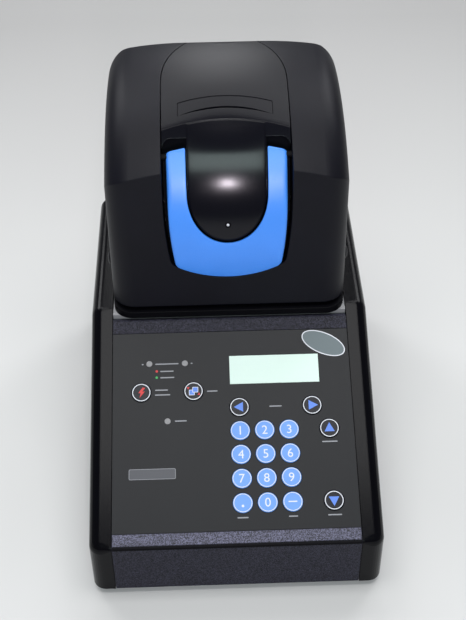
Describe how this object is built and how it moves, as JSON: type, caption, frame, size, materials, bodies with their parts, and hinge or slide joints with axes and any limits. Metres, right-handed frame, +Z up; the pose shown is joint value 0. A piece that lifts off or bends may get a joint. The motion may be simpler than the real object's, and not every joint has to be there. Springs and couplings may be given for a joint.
{
  "type": "thermal cycler",
  "caption": "Benchtop thermal cycler: sloped keypad console with display, well block and a tall hinged optics lid with a U-shaped latch handle.",
  "frame": {"origin": "on the surface it stands on, under the centre of the footprint", "axes": "+Z up, +Y from the keypad front towards the rear panel, +X to the operator's right"},
  "size_m": [0.243, 0.36, 0.3275],
  "materials": {
    "shell_black": "fine matte texture",
    "panel_grey": "fine speckled texture",
    "cover_grey": "fine speckled texture",
    "tongue_black": "satin",
    "overlay": "satin film",
    "key_blue": "satin",
    "key_black": "satin",
    "handle_blue": "smooth satin",
    "lens": "clear gloss over a pale lit display",
    "zinc": "zinc plated",
    "deck": "satin",
    "aluminium": "machined",
    "steel": "polished",
    "board": "lacquered board",
    "ceramic": "matte",
    "rubber": "matte",
    "lamp": "diffuse"
  },
  "bodies": {
    "chassis": {"base_pan": "zinc", "left_side_panel": "panel_grey", "right_side_panel": "panel_grey", "front_cover": "cover_grey", "bay_deck": "deck", "rear_panel": "zinc", "keypad_overlay": "overlay", "display_lens": "lens", "display_module": "board", "keypad_board": "board", "status_lights": "lamp", "control_board": "board", "power_supply": "zinc", "fan_frames": "shell_black", "power_inlet": "shell_black", "serial_port": "steel", "rubber_feet": "rubber", "chassis_screws": "steel", "unit_base": "shell_black", "sample_block": "aluminium", "block_seal": "rubber", "thermal_modules": "ceramic", "heat_sink": "aluminium", "hinge_pins": "steel", "latch_strike": "steel"},
    "lid": {"lid_hood": "shell_black", "lid_cover": "tongue_black", "lid_liner": "shell_black", "scan_frame": "steel", "scan_motor": "shell_black", "badge_inlay": "tongue_black", "lid_lamp": "lamp"},
    "heated_plate": {"heated_plate": "aluminium"},
    "shuttle": {"optics_shuttle": "shell_black"},
    "screw": {"lead_screw": "steel"},
    "handle": {"latch_handle": "handle_blue"},
    "lever": {"latch_lever": "steel"},
    "rocker": {"power_rocker": "shell_black"},
    "fan_left": {"fan_rotor_left": "shell_black"},
    "fan_right": {"fan_rotor_right": "shell_black"},
    "key_0": {"key_0": "key_blue"},
    "key_1": {"key_1": "key_blue"},
    "key_2": {"key_2": "key_blue"},
    "key_3": {"key_3": "key_blue"},
    "key_4": {"key_4": "key_blue"},
    "key_5": {"key_5": "key_blue"},
    "key_6": {"key_6": "key_blue"},
    "key_7": {"key_7": "key_blue"},
    "key_8": {"key_8": "key_blue"},
    "key_9": {"key_9": "key_blue"},
    "key_dot": {"key_dot": "key_blue"},
    "key_dash": {"key_dash": "key_blue"},
    "key_left": {"key_left": "key_black"},
    "key_right": {"key_right": "key_black"},
    "key_up": {"key_up": "key_black"},
    "key_down": {"key_down": "key_black"},
    "key_run": {"key_run": "key_black"},
    "key_block": {"key_block": "key_black"}
  },
  "joints": [
    {"name": "lid_hinge", "type": "hinge", "parent": "chassis", "child": "lid", "pos_m": [0, 0.167, 0.164], "axis": [-1, 0, 0], "range_deg": [0, 75]},
    {"name": "handle_pivot", "type": "hinge", "parent": "lid", "child": "handle", "pos_m": [0, 0.0378, 0.292], "axis": [-1, 0, 0], "range_deg": [0, 40]},
    {"name": "lever_pivot", "type": "hinge", "parent": "lid", "child": "lever", "pos_m": [0, 0.02605, 0.1745], "axis": [-1, 0, 0], "range_deg": [-16, 0]},
    {"name": "plate_float", "type": "slide", "parent": "lid", "child": "heated_plate", "axis": [0, 0, 1], "range_m": [0, 0.003], "stiffness_N_per_m": 1500, "springref_m": -0.004},
    {"name": "shuttle_scan", "type": "slide", "parent": "lid", "child": "shuttle", "axis": [1, 0, 0], "range_m": [-0.045, 0.045]},
    {"name": "screw_turn", "type": "hinge", "parent": "lid", "child": "screw", "pos_m": [0, 0.08205, 0.215], "axis": [1, 0, 0], "range_deg": [-850, 850]},
    {"name": "rocker_tilt", "type": "hinge", "parent": "chassis", "child": "rocker", "pos_m": [-0.045, 0.169, 0.1225], "axis": [-1, 0, 0], "range_deg": [0, 14]},
    {"name": "fan_left_spin", "type": "hinge", "parent": "chassis", "child": "fan_left", "pos_m": [-0.046, 0.1576, 0.0594], "axis": [0, 1, 0], "continuous": true},
    {"name": "fan_right_spin", "type": "hinge", "parent": "chassis", "child": "fan_right", "pos_m": [0.046, 0.1576, 0.0594], "axis": [0, 1, 0], "continuous": true},
    {"name": "key_0_press", "type": "slide", "parent": "chassis", "child": "key_0", "axis": [0, 0.4289, -0.9033], "range_m": [0, 0.0005], "stiffness_N_per_m": 600, "springref_m": -0.0005},
    {"name": "key_1_press", "type": "slide", "parent": "chassis", "child": "key_1", "axis": [0, 0.4289, -0.9033], "range_m": [0, 0.0005], "stiffness_N_per_m": 600, "springref_m": -0.0005},
    {"name": "key_2_press", "type": "slide", "parent": "chassis", "child": "key_2", "axis": [0, 0.4289, -0.9033], "range_m": [0, 0.0005], "stiffness_N_per_m": 600, "springref_m": -0.0005},
    {"name": "key_3_press", "type": "slide", "parent": "chassis", "child": "key_3", "axis": [0, 0.4289, -0.9033], "range_m": [0, 0.0005], "stiffness_N_per_m": 600, "springref_m": -0.0005},
    {"name": "key_4_press", "type": "slide", "parent": "chassis", "child": "key_4", "axis": [0, 0.4289, -0.9033], "range_m": [0, 0.0005], "stiffness_N_per_m": 600, "springref_m": -0.0005},
    {"name": "key_5_press", "type": "slide", "parent": "chassis", "child": "key_5", "axis": [0, 0.4289, -0.9033], "range_m": [0, 0.0005], "stiffness_N_per_m": 600, "springref_m": -0.0005},
    {"name": "key_6_press", "type": "slide", "parent": "chassis", "child": "key_6", "axis": [0, 0.4289, -0.9033], "range_m": [0, 0.0005], "stiffness_N_per_m": 600, "springref_m": -0.0005},
    {"name": "key_7_press", "type": "slide", "parent": "chassis", "child": "key_7", "axis": [0, 0.4289, -0.9033], "range_m": [0, 0.0005], "stiffness_N_per_m": 600, "springref_m": -0.0005},
    {"name": "key_8_press", "type": "slide", "parent": "chassis", "child": "key_8", "axis": [0, 0.4289, -0.9033], "range_m": [0, 0.0005], "stiffness_N_per_m": 600, "springref_m": -0.0005},
    {"name": "key_9_press", "type": "slide", "parent": "chassis", "child": "key_9", "axis": [0, 0.4289, -0.9033], "range_m": [0, 0.0005], "stiffness_N_per_m": 600, "springref_m": -0.0005},
    {"name": "key_dot_press", "type": "slide", "parent": "chassis", "child": "key_dot", "axis": [0, 0.4289, -0.9033], "range_m": [0, 0.0005], "stiffness_N_per_m": 600, "springref_m": -0.0005},
    {"name": "key_dash_press", "type": "slide", "parent": "chassis", "child": "key_dash", "axis": [0, 0.4289, -0.9033], "range_m": [0, 0.0005], "stiffness_N_per_m": 600, "springref_m": -0.0005},
    {"name": "key_left_press", "type": "slide", "parent": "chassis", "child": "key_left", "axis": [0, 0.4289, -0.9033], "range_m": [0, 0.0005], "stiffness_N_per_m": 600, "springref_m": -0.0005},
    {"name": "key_right_press", "type": "slide", "parent": "chassis", "child": "key_right", "axis": [0, 0.4289, -0.9033], "range_m": [0, 0.0005], "stiffness_N_per_m": 600, "springref_m": -0.0005},
    {"name": "key_up_press", "type": "slide", "parent": "chassis", "child": "key_up", "axis": [0, 0.4289, -0.9033], "range_m": [0, 0.0005], "stiffness_N_per_m": 600, "springref_m": -0.0005},
    {"name": "key_down_press", "type": "slide", "parent": "chassis", "child": "key_down", "axis": [0, 0.4289, -0.9033], "range_m": [0, 0.0005], "stiffness_N_per_m": 600, "springref_m": -0.0005},
    {"name": "key_run_press", "type": "slide", "parent": "chassis", "child": "key_run", "axis": [0, 0.4289, -0.9033], "range_m": [0, 0.0005], "stiffness_N_per_m": 600, "springref_m": -0.0005},
    {"name": "key_block_press", "type": "slide", "parent": "chassis", "child": "key_block", "axis": [0, 0.4289, -0.9033], "range_m": [0, 0.0005], "stiffness_N_per_m": 600, "springref_m": -0.0005}
  ],
  "couplings": [
    {"joint": "lever_pivot", "follows": "handle_pivot", "ratio": -0.4},
    {"joint": "screw_turn", "follows": "shuttle_scan", "rad_per_m": 314.16}
  ]
}
